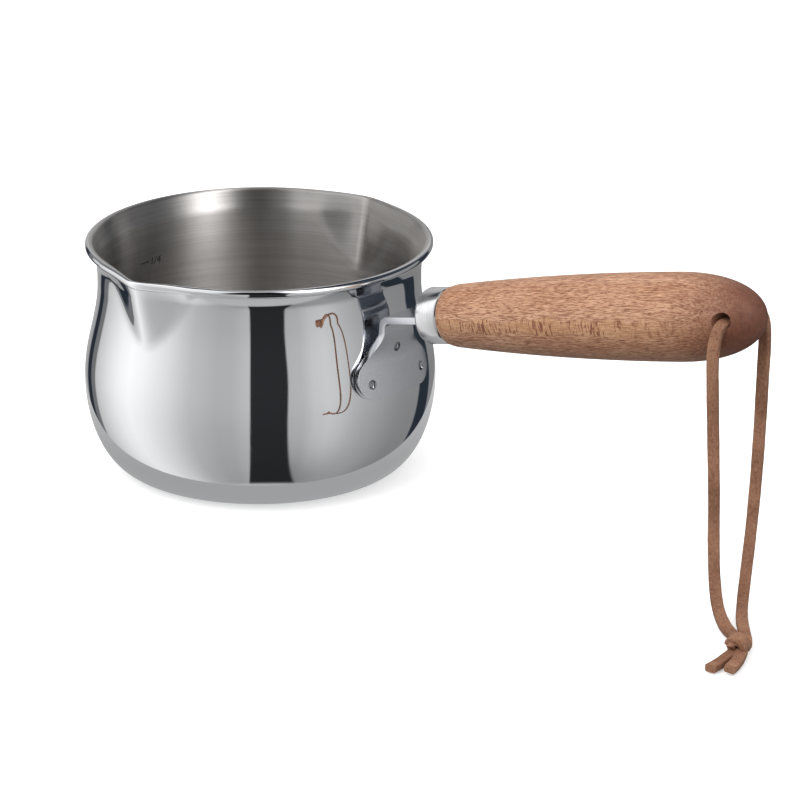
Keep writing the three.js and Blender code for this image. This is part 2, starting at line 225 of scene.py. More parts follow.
def grid_faces(rows, columns, closed):
    """Faces between points given row by row. In a closed grid each row joins up with itself."""
    faces = []
    for row in range(rows - 1):
        low, high = row * columns, (row + 1) * columns
        for i in range(columns if closed else columns - 1):
            j = (i + 1) % columns
            faces.append((low + i, low + j, high + j, high + i))
    return faces


def fix_normals(piece):
    work = bmesh.new()
    work.from_mesh(piece.data)
    bmesh.ops.remove_doubles(work, verts=work.verts, dist=1e-7)
    bmesh.ops.recalc_face_normals(work, faces=work.faces)
    work.to_mesh(piece.data)
    work.free()


def apply_modifiers(piece):
    shown = piece.evaluated_get(bpy.context.evaluated_depsgraph_get())
    mesh = bpy.data.meshes.new_from_object(shown)
    piece.modifiers.clear()
    piece.data = mesh


def sharpen(piece, degrees):
    """Smooth shading with creases where faces meet at more than this angle."""
    piece.data.polygons.foreach_set("use_smooth", [True] * len(piece.data.polygons))
    piece.data.set_sharp_from_angle(angle=math.radians(degrees))


def cut(piece, cutter):
    """Takes the cutter out of the piece and throws the cutter away."""
    tool = piece.modifiers.new("cut", "BOOLEAN")
    tool.operation = "DIFFERENCE"
    tool.solver = "EXACT"
    tool.object = cutter
    apply_modifiers(piece)
    bpy.data.objects.remove(cutter)


def turned(name, profile, sectors, axis="z"):
    """A turned shape. profile is a list of (radius, distance along the axis), and a zero radius
    gives a single point."""
    points = []
    rings = []
    for radius, along in profile:
        if radius < 1e-9:
            rings.append([len(points)])
            points.append((0, 0, along))
            continue
        first = len(points)
        rings.append(list(range(first, first + sectors)))
        for i in range(sectors):
            a = 2 * math.pi * i / sectors
            points.append((radius * math.cos(a), radius * math.sin(a), along))
    faces = []
    for low, high in zip(rings, rings[1:]):
        for i in range(sectors):
            j = (i + 1) % sectors
            if len(low) == 1:
                faces.append((low[0], high[j], high[i]))
            elif len(high) == 1:
                faces.append((low[i], low[j], high[0]))
            else:
                faces.append((low[i], low[j], high[j], high[i]))
    if axis == "x":
        points = [(z, x, y) for x, y, z in points]
    piece = mesh_piece(name, points, faces)
    fix_normals(piece)
    return piece


# ---------- shaders


class Shader:
    """A material with a principled shader, and short ways to add nodes to it."""

    def __init__(self, name, **values):
        self.material = bpy.data.materials.new(name)
        self.material.use_nodes = True
        self.tree = self.material.node_tree
        self.main = self.tree.nodes["Principled BSDF"]
        for socket, value in values.items():
            self.main.inputs[socket.replace("_", " ")].default_value = value

    def node(self, kind, inputs=None, **settings):
        made = self.tree.nodes.new(kind)
        for name, value in settings.items():
            setattr(made, name, value)
        for name, value in (inputs or {}).items():
            if isinstance(value, bpy.types.NodeSocket):
                self.tree.links.new(value, made.inputs[name])
            else:
                made.inputs[name].default_value = value
        return made

    def join(self, output, name):
        self.tree.links.new(output, self.main.inputs[name])

    def place(self, scale, along_handle=False):
        """Scaled coordinates of the piece itself, or ones that start and run along the handle."""
        where = self.node("ShaderNodeTexCoord").outputs["Object"]
        if along_handle:
            where = self.node("ShaderNodeMapping", {
                "Vector": where, "Location": HANDLE_START, "Rotation": (0, -HANDLE_ANGLE, 0),
            }, vector_type="TEXTURE").outputs["Vector"]
        return self.node("ShaderNodeMapping", {"Vector": where, "Scale": scale}).outputs["Vector"]

    def noise(self, vector, scale, detail=4.0, roughness=0.55, distortion=0.0):
        return self.node("ShaderNodeTexNoise", {
            "Vector": vector, "Scale": scale, "Detail": detail,
            "Roughness": roughness, "Distortion": distortion,
        }).outputs["Fac"]

    def spread(self, value, low, high, out_low=0.0, out_high=1.0):
        return self.node("ShaderNodeMapRange", {
            "Value": value, "From Min": low, "From Max": high,
            "To Min": out_low, "To Max": out_high,
        }, interpolation_type="SMOOTHSTEP").outputs["Result"]

    def math(self, operation, a, b=0.0):
        return self.node("ShaderNodeMath", {0: a, 1: b}, operation=operation).outputs[0]

    def blend(self, share, a, b):
        made = self.node("ShaderNodeMix", data_type="RGBA")
        # the node's colour sockets are numbers 6 and 7, and its colour result is number 2
        for index, value in ((0, share), (6, a), (7, b)):
            if isinstance(value, bpy.types.NodeSocket):
                self.tree.links.new(value, made.inputs[index])
            else:
                made.inputs[index].default_value = value
        return made.outputs[2]

    def bump(self, height, strength, distance):
        return self.node("ShaderNodeBump", {
            "Height": height, "Strength": strength, "Distance": distance,
        }).outputs["Normal"]


def finish_piece(piece, body, slot, shader, *nodes):
    """Gives a piece its material or materials and its body, and hides the nodes it replaces. The
    slot is not used.
    """
    piece.data.materials.clear()
    for each in shader if isinstance(shader, list) else [shader]:
        piece.data.materials.append(each.material)
    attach(piece, body)
    if nodes:
        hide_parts(*nodes)


# ---------- materials


def polished_steel():
    """Mirror polish: very low roughness with faint wipe marks and a trace of unevenness."""
    s = Shader("polished_steel", Metallic=1.0, Base_Color=(0.80, 0.81, 0.83, 1))
    wide = s.noise(s.place((1, 1, 1)), 35, detail=3)
    fine = s.noise(s.place((1, 1, 6)), 900, detail=2)
    uneven = s.math("ADD", wide, s.math("MULTIPLY", fine, 0.3))
    s.join(s.spread(uneven, 0.4, 1.0, 0.02, 0.06), "Roughness")
    s.join(s.bump(wide, 0.02, 0.0004), "Normal")
    return s


def ring_brushed_steel():
    """Inside of the pot: fine rings left by turning it against an abrasive, on a darker, warmer
    grey that is painted shade and painted reflection of the inside's own walls.
    """
    s = Shader("ring_brushed_steel", Metallic=1.0, Anisotropic=1.0, Anisotropic_Rotation=0.25)
    rings = s.noise(s.place((9, 9, 5200)), 1, detail=5, roughness=0.7)
    wide = s.noise(s.place((20, 20, 500)), 1, detail=3)
    mixed = s.math("ADD", s.math("MULTIPLY", rings, 0.7), s.math("MULTIPLY", wide, 0.3))
    tone = s.spread(mixed, 0.3, 0.7)
    # painted shade and painted reflection: both tones are darker and warmer than the polished
    # outside; the changes between them follow the real brushing
    s.join(s.blend(tone, (0.53, 0.51, 0.495, 1), (0.72, 0.70, 0.685, 1)), "Base Color")
    s.join(s.spread(rings, 0.3, 0.7, 0.31, 0.38), "Roughness")
    s.join(s.bump(rings, 0.1, 0.00002), "Normal")
    s.join(s.node("ShaderNodeTangent", direction_type="RADIAL", axis="Z").outputs[0], "Tangent")
    return s


def satin_steel(name, stretch, shade=1.0):
    """Satin steel: a fine grain, stretched along the axis with the smallest scale. A shade below 1
    darkens its colour, as painted shade."""
    s = Shader(name, Metallic=1.0, Anisotropic=0.3)
    grain = s.noise(s.place(stretch), 1, detail=4, roughness=0.65)
    cloud = s.noise(s.place((1, 1, 1)), 120, detail=3)
    dark = (0.70 * shade, 0.715 * shade, 0.75 * shade, 1)
    pale = (0.74 * shade, 0.755 * shade, 0.79 * shade, 1)
    s.join(s.blend(s.spread(grain, 0.3, 0.7), dark, pale), "Base Color")
    uneven = s.math("ADD", grain, s.math("MULTIPLY", cloud, 0.4))
    s.join(s.spread(uneven, 0.4, 1.0, 0.16, 0.22), "Roughness")
    s.join(s.bump(grain, 0.02, 0.00001), "Normal")
    return s


def turned_steel():
    """Ferrule: turned and polished, with fine marks running round it."""
    s = Shader("turned_steel", Metallic=1.0, Anisotropic=0.6, Anisotropic_Rotation=0.25)
    rings = s.noise(s.place((3200, 25, 25)), 1, detail=4, roughness=0.7)
    tone = s.spread(rings, 0.3, 0.7)
    s.join(s.blend(tone, (0.68, 0.68, 0.69, 1), (0.78, 0.78, 0.79, 1)), "Base Color")
    s.join(s.spread(rings, 0.3, 0.7, 0.13, 0.2), "Roughness")
    s.join(s.bump(rings, 0.2, 0.00002), "Normal")
    s.join(s.node("ShaderNodeTangent", direction_type="RADIAL", axis="X").outputs[0], "Tangent")
    return s


def oiled_wood():
    """Oiled hardwood: grain along the handle, short dark pores, a band of ladder-like ray flecks
    along one side, and an end that gets darker towards its tip."""
    s = Shader("oiled_wood", Specular_IOR_Level=0.3)
    plain = s.place((1, 1, 1), True)

    def grain(scale, **more):
        """Noise with this many waves per metre along the handle and in both other directions."""
        return s.noise(s.place(scale, True), 1, **more)

    broad = grain((9, 90, 90), detail=4, distortion=0.6)
    streak = grain((85, 1300, 1300), detail=4, roughness=0.65)
    pores = grain((480, 3000, 3000), detail=2, roughness=0.5)
    patch = s.noise(plain, 55, detail=3)
    dashes = grain((430, 4600, 4600), detail=3, roughness=0.6)
    base = s.blend(s.spread(broad, 0.3, 0.7), (0.42, 0.195, 0.100, 1), (0.66, 0.375, 0.235, 1))
    base = s.blend(s.spread(streak, 0.42, 0.62, 0.0, 0.6), base, (0.28, 0.11, 0.053, 1))
    base = s.blend(s.spread(patch, 0.45, 0.75, 0.0, 0.35), base, (0.66, 0.39, 0.245, 1))
    base = s.blend(s.spread(dashes, 0.52, 0.36, 0.0, 0.8), base, (0.19, 0.068, 0.034, 1))
    base = s.blend(s.spread(dashes, 0.52, 0.66, 0.0, 0.45), base, (0.80, 0.52, 0.35, 1))
    pore = s.spread(pores, 0.40, 0.30)
    base = s.blend(s.math("MULTIPLY", pore, 0.6), base, (0.12, 0.042, 0.024, 1))

    # ray flecks: dark curved rungs on a paler band along one side of the grip
    axes = s.node("ShaderNodeSeparateXYZ", {"Vector": plain}).outputs
    sway = grain((130, 40, 130), detail=2)
    wobble = s.math("MULTIPLY", s.math("SUBTRACT", sway, 0.5), 4 * MM)
    height = s.math("ADD", s.math("ABSOLUTE", s.math("ADD", axes["Z"], FLECK_DROP)), wobble)
    across = s.spread(height, FLECK_HALF + 0.5 * MM, FLECK_HALF - 0.4 * MM)
    near_side = s.spread(axes["Y"], 0.0, -4 * MM)
    fading = s.spread(axes["X"], 1.15 * GRIP_SWELL, 0.7 * GRIP_SWELL, 0.4, 1.0)
    band = s.math("MULTIPLY", s.math("MULTIPLY", across, near_side), fading)
    rungs = grain((1700, 330, 330), detail=1, distortion=0.9)
    gaps = s.spread(grain((210, 210, 210), detail=1), 0.36, 0.5, 0.2, 1.0)
    rung = s.math("MULTIPLY", s.math("MULTIPLY", s.spread(rungs, 0.51, 0.60), gaps), 0.9)
    base = s.blend(s.math("MULTIPLY", band, 0.5), base, (0.58, 0.32, 0.16, 1))
    base = s.blend(s.math("MULTIPLY", band, rung), base, (0.19, 0.060, 0.030, 1))

    mottle = s.noise(plain, 900, detail=4, roughness=0.6)
    along = s.math("ADD", axes["X"], s.math("MULTIPLY", patch, 12 * MM))
    dark = s.spread(along, DARK_END_START, DARK_END_FULL, 0.0, 0.9)
    dark_end_colour = s.blend(mottle, (0.070, 0.020, 0.012, 1), (0.22, 0.075, 0.045, 1))
    base = s.blend(dark, base, dark_end_colour)
    s.join(base, "Base Color")
    s.join(s.spread(s.math("ADD", streak, pore), 0.2, 1.2, 0.42, 0.62), "Roughness")
    relief = s.math("SUBTRACT", s.math("MULTIPLY", streak, 0.4), pore)
    s.join(s.bump(relief, 0.5, 0.00008), "Normal")
    return s


def leather():
    """Matte tan leather with a rough skin and loose paler fibres."""
    s = Shader("leather", Specular_IOR_Level=0.3)
    skin = s.noise(s.place((1, 1, 1)), 1500, detail=5, roughness=0.65)
    fibre = s.noise(s.place((1, 1, 0.25)), 2600, detail=3)
    cloud = s.noise(s.place((1, 1, 1)), 90, detail=3)
    base = s.blend(s.spread(cloud, 0.3, 0.7), (0.22, 0.100, 0.056, 1), (0.36, 0.180, 0.105, 1))
    base = s.blend(s.spread(skin, 0.50, 0.66, 0.0, 0.6), base, (0.12, 0.048, 0.025, 1))
    base = s.blend(s.spread(fibre, 0.54, 0.70, 0.0, 0.5), base, (0.46, 0.27, 0.17, 1))
    s.join(base, "Base Color")
    s.join(s.spread(skin, 0.3, 0.7, 0.62, 0.85), "Roughness")
    s.join(s.bump(s.math("ADD", skin, fibre), 0.6, 0.00012), "Normal")
    return s


def etched_mark():
    """Dark etched steel of the volume mark."""
    s = Shader("etched_mark", Metallic=0.4, Roughness=0.6)
    grain = s.noise(s.place((1, 1, 1)), 4000, detail=3)
    s.join(s.blend(grain, (0.03, 0.026, 0.024, 1), (0.09, 0.08, 0.075, 1)), "Base Color")
    return s


# ---------- lace


def smooth_path(route):
    """Points a step apart along a smooth curve through the route, and the curve's length."""
    p = np.array(route, float)
    ends = np.vstack([2 * p[0] - p[1], p, 2 * p[-1] - p[-2]])
    fine = []
    for a, b, c, d in zip(ends, ends[1:], ends[2:], ends[3:]):
        for t in np.linspace(0, 1, 24, endpoint=False):
            bend = (2 * a - 5 * b + 4 * c - d) * t**2 + (3 * b - a - 3 * c + d) * t**3
            fine.append(0.5 * (2 * b + (c - a) * t + bend))
    fine.append(p[-1])
    fine = np.array(fine)
    run = np.concatenate([[0], np.cumsum(np.linalg.norm(np.diff(fine, axis=0), axis=1))])
    count = max(4, int(run[-1] / STRIP_STEP))
    marks = np.linspace(0, run[-1], count + 1)
    return np.stack([np.interp(marks, run, fine[:, i]) for i in range(3)], axis=1), float(run[-1])


def strip_section(width, thickness):
    """Outline of a strip's cut end: a rectangle with round corners."""
    section = []
    for sx, sy, start in ((1, 1, 0), (-1, 1, 90), (-1, -1, 180), (1, -1, 270)):
        for a in np.radians(np.linspace(start, start + 90, 4)):
            section.append((
                sx * (width / 2 - STRIP_CORNER) + STRIP_CORNER * math.cos(a),
                sy * (thickness / 2 - STRIP_CORNER) + STRIP_CORNER * math.sin(a),
            ))
    return section


def strip(name, route, faces_at, width=STRIP_WIDTH, thickness=STRIP_THICKNESS):
    """A leather strip along a route. faces_at is a list of (share of the length, direction that the
    strip's broad face looks in). Gives the piece, its middle line and its length."""
    path, length = smooth_path(route)
    count = len(path)
    shares = np.linspace(0, 1, count)
    known = [share for share, _ in faces_at]
    looks = np.stack([
        np.interp(shares, known, [direction[i] for _, direction in faces_at]) for i in range(3)
    ], axis=1)
    section = strip_section(width, thickness)
    points = []
    for i in range(count):
        ahead = Vector(path[min(i + 1, count - 1)] - path[max(i - 1, 0)]).normalized()
        face = Vector(looks[i])
        face = (face - ahead * face.dot(ahead)).normalized()
        side = ahead.cross(face)
        # the cut edges are not quite straight
        wave = 1 + 0.012 * math.sin(i * 0.37) + 0.008 * math.sin(i * 1.13 + 1)
        for u, v in section:
            points.append(Vector(path[i]) + side * (u * wave) + face * v)
    n = len(section)
    faces = grid_faces(count, n, True)
    faces.append(list(range(n))[::-1])
    faces.append([(count - 1) * n + i for i in range(n)])
    piece = mesh_piece(name, points, faces)
    fix_normals(piece)
    sharpen(piece, 55)
    return piece, path, length


# Middle line of the loop, in millimetres: from the knot over the surface, up to the near mouth of
# the hole, through the grip, down the far side and back to the knot.
LOOP_ROUTE = [
    (176.9, -31.6, 2.2), (175.5, -29.0, 1.4), (171.5, -25.6, 1.1), (166.0, -22.0, 1.4),
    (161.1, -18.2, 3.8), (157.6, -14.9, 9.0), (155.3, -12.4, 17.5), (154.1, -11.0, 29.0),
    (153.3, -10.6, 42.0), (152.9, -10.7, 54.0), (152.8, -10.9, 61.5), (152.8, -10.7, 66.0),
    (152.8, -9.7, 69.3),
    (152.8, -7.9, 71.2), (152.8, -5.0, 71.6), (152.8, 0.0, 71.6), (152.8, 5.0, 71.6),
    (152.8, 7.9, 71.2), (152.8, 9.7, 69.3), (152.8, 10.7, 66.0), (152.8, 10.8, 61.5),
    (152.9, 10.2, 54.0), (153.4, 8.8, 42.0), (154.3, 6.4, 29.0), (155.7, 2.8, 17.0),
    (158.0, -2.2, 8.0), (161.5, -8.4, 2.9), (166.1, -15.2, 1.3), (171.2, -21.4, 1.1),
    (176.4, -27.8, 1.5), (177.9, -31.2, 2.4),
]
# Where the loop's broad outer face looks, at shares of its length.
LOOP_FACES = [
    (0.0, (0, 0, 1)), (0.10, (0, 0, 1)), (0.19, (0.6, -0.75, 0.3)), (0.40, (0.35, -0.9, 0)),
    (0.45, (0, -1, 0.1)), (0.475, (0, -0.4, 1)), (0.5, (0, 0, 1)), (0.525, (0, 0.4, 1)),
    (0.55, (0, 1, 0.1)), (0.60, (-0.2, 0.95, 0)), (0.82, (-0.6, 0.75, -0.3)), (0.92, (0, 0, -1)),
    (1.0, (0, 0, -1)),
]
KNOT_CENTRE = Vector((177.8, -33.2, 3.2)) * MM
KNOT_AHEAD = Vector((0.2, -0.98, 0)).normalized()
WRAP_START = math.radians(110)
WRAP_LEAN_START = 0.6
TAIL_ROUTES = [
    [(177.6, -34.0, 1.6), (177.8, -37.0, 1.3), (178.2, -41.0, 1.1), (178.4, -45.4, 1.1)],
    [(179.2, -33.6, 1.9), (180.4, -36.2, 1.6), (181.8, -39.8, 1.45), (182.8, -43.6, 1.45)],
]
# Where each tail's broad face looks.
TAIL_FACES = [(0, 0, 1), (0.2, -0.1, 1)]


def in_metres(route):
    return [tuple(MM * each for each in point) for point in route]


def wraps(name, turns, radius, rise, lean):
    """A strip wound round the line of the lace, as the coils of the knot. It moves on by rise
    along the line, and each turn leans to and fro by lean."""
    across = Vector((0, 0, 1))
    side = KNOT_AHEAD.cross(across)
    steps = int(24 * turns)
    route = []
    looks = []
    for i in range(steps + 1):
        share = i / steps
        a = 2 * math.pi * turns * share + WRAP_START
        outwards = across * math.cos(a) + side * math.sin(a)
        run = rise * (share - 0.5) + lean * math.cos(a + WRAP_LEAN_START)
        route.append(tuple(KNOT_CENTRE + outwards * radius + KNOT_AHEAD * run))
        looks.append((share, tuple(outwards)))
    return strip(name, route, looks, KNOT_STRIP_WIDTH, KNOT_STRIP_THICKNESS)[0]


def make_lace():
    lace, path, length = strip("lace_loop", in_metres(LOOP_ROUTE), LOOP_FACES)
    skin = leather()
    knot = wraps("lace_knot_wraps", turns=1.9, radius=2.05 * MM, rise=2.5 * MM, lean=0.5 * MM)
    core = wraps("lace_knot_core", turns=1.0, radius=0.85 * MM, rise=4.4 * MM, lean=0.1 * MM)
    finish_piece(lace, "lace", "leather", skin, "lace")
    finish_piece(knot, "lace", "leather", skin, "lace_knot")
    finish_piece(core, "lace", "leather", skin)
    for i, (route, facing) in enumerate(zip(TAIL_ROUTES, TAIL_FACES), start=1):
        tail = strip(f"lace_tail_{i}_strip", in_metres(route), [(0, facing), (1, facing)])[0]
        finish_piece(tail, "lace", "leather", skin, f"lace_tail_{i}")


make_lace()


# ---------- pot


def wall_radius(z):
    """Outer radius of the round wall at a height, before the lips are pinched out."""
    z = np.asarray(z, float)
    down = np.clip((BELLY_HEIGHT - z) / BELLY_HEIGHT, 0, 1)
    low = BASE_FLAT_RADIUS + (BELLY_RADIUS - BASE_FLAT_RADIUS) * np.sqrt(1 - down**2)
    up = np.clip((z - BELLY_HEIGHT) / (WAIST_HEIGHT - BELLY_HEIGHT), 0, 1)
    middle = WAIST_RADIUS + (BELLY_RADIUS - WAIST_RADIUS) * (1 + np.cos(math.pi * up)) / 2
    top = np.clip((z - WAIST_HEIGHT) / (POT_HEIGHT - WAIST_HEIGHT), 0, 1)
    turn = np.clip((z - CURL_FROM) / (CURL_TO - CURL_FROM), 0, 1)
    curl = (CURL_TO - CURL_FROM) * (turn**3 - turn**4 / 2) + np.clip(z - CURL_TO, 0, None)
    high = WAIST_RADIUS + FLARE * top**FLARE_POWER + CURL_SLOPE * curl
    return np.where(z < BELLY_HEIGHT, low, np.where(z < WAIST_HEIGHT, middle, high))


def facet_push(angle, round_wall, crease, half):
    """How far a lip pushes out a wall of one radius, at an angle from the lip's middle: a flat
    facet runs on each side from the crease to the V that the lip draws on the wall."""
    half = np.maximum(half, 1e-3)
    soft = np.sqrt(angle**2 + CREASE_SOFTNESS**2) - CREASE_SOFTNESS / 2
    slope = (1 / round_wall - np.cos(half) / crease) / np.sin(half)
    near = np.minimum(soft, half)
    facet = 1 / (np.cos(near) / crease + slope * np.sin(near))
    over = facet - round_wall - LIP_FADE * round_wall * (soft - near)
    blend = np.clip(1 - np.abs(over) / LIP_BLEND, 0, 1)
    push = np.maximum(0, over) + blend**2 * LIP_BLEND / 4
    return np.where(half <= 1e-3, 0, push)


def wall_push(angle, z):
    """How far a lip pushes out the wall at a height."""
    up = np.clip((z - CREASE_BOTTOM) / (POT_HEIGHT - CREASE_BOTTOM), 0, 1)
    start = float(wall_radius(CREASE_BOTTOM))
    crease = start + (CREASE_TOP_RADIUS - start) * up
    return facet_push(angle, wall_radius(z), crease, LIP_HALF_ANGLE * up**LIP_SPREAD)


def pot_outer_profile():
    """Outer face from the base's edge up to the bead."""
    low_steps = 44
    profile = []
    for i in range(low_steps + 1):
        a = math.pi / 2 * i / low_steps
        radius = BASE_FLAT_RADIUS + (BELLY_RADIUS - BASE_FLAT_RADIUS) * math.sin(a)
        profile.append((radius, BELLY_HEIGHT * (1 - math.cos(a))))
    high_steps = 80
    for z in np.linspace(BELLY_HEIGHT, WALL_TOP, high_steps + 1)[1:]:
        profile.append((float(wall_radius(z)), float(z)))
    return profile


def pot_bead_profile():
    """Rolled edge, from the outer face round to the inner one."""
    steps = 26
    return [
        (
            RIM_RADIUS - BEAD_RADIUS + BEAD_RADIUS * math.cos(a),
            POT_HEIGHT - BEAD_RADIUS + BEAD_RADIUS * math.sin(a),
        )
        for a in np.radians(np.linspace(-120, 160, steps))
    ]


def pot_inner_profile(outer):
    """Inner face from the bead down to the floor: the outer one, moved in by the sheet."""
    inner = []
    for i, (radius, z) in enumerate(outer):
        before = outer[max(0, i - 1)]
        after = outer[min(len(outer) - 1, i + 1)]
        along = Vector((after[0] - before[0], after[1] - before[1])).normalized()
        if i == 0:
            inner.append((radius, SHEET))
        else:
            inner.append((radius - SHEET * along.y, z + SHEET * along.x))
    return [point for point in inner if point[1] < INNER_TOP][::-1]


def pinch(points):
    """Pushes the two pouring lips out of a list of points. Above the wall the push fades from the
    wall's own to the rim's, so that the rolled rim thins out towards each lip's tip."""
    p = np.array(points, float)
    radius = np.hypot(p[:, 0], p[:, 1])
    angle = np.arctan2(p[:, 0], np.abs(p[:, 1])) + LIP_TURN
    z = p[:, 2]
    rim = facet_push(angle, RIM_RADIUS, CREASE_TOP_RADIUS, LIP_HALF_ANGLE)
    wall = wall_push(angle, np.minimum(z, WALL_TOP))
    start = float(wall_radius(WALL_TOP))
    share = np.where(z > WALL_TOP, np.clip((radius - start) / (RIM_RADIUS - start), 0, 1), 0)
    grown = 1 + (wall + (rim - wall) * share) / np.maximum(radius, MM)
    top = np.clip((z - WAIST_HEIGHT) / (POT_HEIGHT - WAIST_HEIGHT), 0, None)
    p[:, 0] *= grown
    p[:, 1] *= grown
    p[:, 2] -= LIP_DROP * top**2 * rim / (CREASE_TOP_RADIUS - RIM_RADIUS)
    return p


def make_pot():
    outer = pot_outer_profile()
    inner = pot_inner_profile(outer)
    bead = pot_bead_profile()
    profile = [(0, 0), *outer, *bead, *inner, (0, SHEET)]
    pot = turned("pot", profile, POT_SECTORS)
    points = np.array([v.co for v in pot.data.vertices])
    moved = pinch(points)
    pot.data.vertices.foreach_set("co", moved.ravel())
    pot.data.update()
    sharpen(pot, 50)
    finish_piece(pot, "pot", "polished_steel", [polished_steel(), ring_brushed_steel()], "pot_body")

    # faces that look up or inwards take the brushed finish
    for face in pot.data.polygons:
        c = face.center
        outwards = (face.normal.x * c.x + face.normal.y * c.y) / max(math.hypot(c.x, c.y), MM)
        top = c.z > WAIST_HEIGHT and face.normal.z > 0 and outwards < RIM_BRUSHED_TO
        floor = face.normal.z > 0.9 and c.z < BELLY_HEIGHT / 2
        face.material_index = 1 if top or floor or outwards < 0 else 0


make_pot()


# ---------- bracket


def plate_radius(z):
    """Radius of the plate's back: it hugs the wall low down and stands off it at the neck."""
    off = NECK_STANDOFF * smoothstep(z, NECK_BOTTOM - 7 * MM, NECK_BOTTOM + 3 * MM)
    return wall_radius(z) + PLATE_OFFSET + off


def arc_points(centre, radius, start, end, steps):
    return [
        (centre[0] + radius * math.cos(a), centre[1] + radius * math.sin(a))
        for a in np.radians(np.linspace(start, end, steps + 1))
    ]


def curve_points(start, control, end, steps):
    """Points along a curve from start to end, pulled towards the control point."""
    points = []
    for t in np.linspace(0, 1, steps + 1):
        points.append(tuple(
            (1 - t) ** 2 * start[i] + 2 * t * (1 - t) * control[i] + t**2 * end[i] for i in range(2)
        ))
    return points


def plate_outline_half():
    """Right half of the plate's outline, from the middle of its bottom up to the neck's top."""
    lobe = (LOBE_SIDE, PLATE_BOTTOM + LOBE_RADIUS)
    corner = arc_points(lobe, LOBE_RADIUS, -90, 45, 18)
    control = (NECK_HALF + 0.4 * MM, NECK_BOTTOM - 2 * MM)
    flank = curve_points(corner[-1], control, (NECK_HALF, PLATE_TOP), 12)
    return corner + flank[1:]


def half_width_at(height):
    """Half the plate's width at a height along the sheet, measured up from its bottom edge."""
    outline = plate_outline_half()
    heights = [z for _, z in outline]
    widths = [y for y, _ in outline]
    return float(np.interp(height, heights, widths))


def sheet_path():
    """Middle line of the bracket's outer face in the XZ plane: up the plate, round the bend and out
    along the handle to just inside the ferrule. Each entry is (x, z, half width)."""
    path = []
    lobe_z = PLATE_BOTTOM + LOBE_RADIUS
    turns = np.linspace(0.0, math.pi / 2, 15)
    low = [PLATE_BOTTOM + LOBE_RADIUS * (1 - math.cos(a)) for a in turns]
    high = list(np.linspace(lobe_z, PLATE_TOP, 34)[1:])
    for z in low + high:
        path.append((float(plate_radius(z)) + PLATE, z, half_width_at(z)))
    face = path[-1][0]
    bend_x = face + BEND_RADIUS
    along = Vector((math.cos(HANDLE_ANGLE), math.sin(HANDLE_ANGLE)))
    normal = Vector((-along.y, along.x))
    start = Vector((HANDLE_START.x, HANDLE_START.z)) - normal * PLATE / 2
    bend_z = start.y - (start.x - bend_x) * math.tan(HANDLE_ANGLE)
    bend_z -= BEND_RADIUS / math.cos(HANDLE_ANGLE)
    for a in np.linspace(math.pi, math.pi / 2 + HANDLE_ANGLE, 14):
        x = bend_x + BEND_RADIUS * math.cos(a)
        z = bend_z + BEND_RADIUS * math.sin(a)
        path.append((x, z, NECK_HALF))
    end = start - along * (FERRULE_LENGTH - FERRULE_END)
    last = Vector((path[-1][0], path[-1][1]))
    for t in np.linspace(0, 1, 12)[1:]:
        spot = last.lerp(end, t)
        path.append((spot.x, spot.y, NECK_HALF))
    return path


def make_bracket():
    """A grid over the outer face, wrapped on the wall low down and flat across the neck and tongue,
    given its thickness inwards."""
    path = sheet_path()
    columns = 48
    points = []
    for x, z, half in path:
        flat = float(smoothstep(z, NECK_BOTTOM - 5 * MM, PLATE_TOP))
        for i in range(columns + 1):
            share = 2 * i / columns - 1
            y = half * share
            wrapped = math.sqrt(max(0.0, x * x - y * y))
            points.append((wrapped + (x - wrapped) * flat, y, z))
    bracket = mesh_piece("bracket", points, grid_faces(len(path), columns + 1, False))
    thick = bracket.modifiers.new("thickness", "SOLIDIFY")
    thick.thickness = PLATE
    thick.offset = -1
    thick.use_even_offset = True
    apply_modifiers(bracket)
    fix_normals(bracket)
    round_edges(bracket, EDGE_ROUNDING, 55)
    for side, height in WELD_PLACES:
        cut(bracket, weld_hole(side, height))
    sharpen(bracket, 50)
    steel = satin_steel("satin_plate", (3000, 200, 3000))
    finish_piece(bracket, "pot", "brushed_steel", steel, "handle_bracket")


def round_edges(piece, width, degrees, segments=3):
    """Rounds the edges where faces meet at more than this angle."""
    bevel = piece.modifiers.new("bevel", "BEVEL")
    bevel.width = width
    bevel.segments = segments
    bevel.limit_method = "ANGLE"
    bevel.angle_limit = math.radians(degrees)
    apply_modifiers(piece)
    sharpen(piece, 50)


def on_plate(side, height):
    """Placing matrix whose X axis points straight out of the plate's outer face."""
    step = 1 * MM
    radius = float(plate_radius(height)) + PLATE
    lean = math.atan2(float(plate_radius(height - step) - plate_radius(height + step)), 2 * step)
    turn = side / (radius - PLATE)
    return (
        Matrix.Rotation(turn, 4, "Z")
        @ Matrix.Translation((radius, 0, height))
        @ Matrix.Rotation(-lean, 4, "Y")
    )


def weld_hole(side, height):
    """Cutter for the round hole that each dished weld fills."""
    profile = [
        (0, -WELD_DEPTH), (WELD_RADIUS, -WELD_DEPTH), (WELD_RADIUS, 1 * MM), (0, 1 * MM),
    ]
    cutter = turned("weld_hole", profile, 32, axis="x")
    cutter.matrix_world = on_plate(side, height)
    bpy.context.view_layer.update()
    return cutter


def make_welds():
    """Dished welds: shallow cups pressed in by the welding tip, each with a small peak in it."""
    rim = WELD_RADIUS - WELD_GAP
    back = 2 * WELD_GAP - WELD_DEPTH
    cup = [(share * rim, -depth) for share, depth in WELD_DISH] + [(rim, back), (0, back)]
    for i, (side, height) in enumerate(WELD_PLACES, start=1):
        weld = turned(f"weld_{i}", cup, 32, axis="x")
        weld.data.transform(on_plate(side, height))
        sharpen(weld, 60)
        # painted shade: the welds' steel is darkened so that the dished cups look shaded
        steel = satin_steel(f"weld_steel_{i}", (700, 700, 700), WELD_PAINTED_SHADE)
        finish_piece(weld, "pot", "brushed_steel", steel, f"spot_weld_{i}")


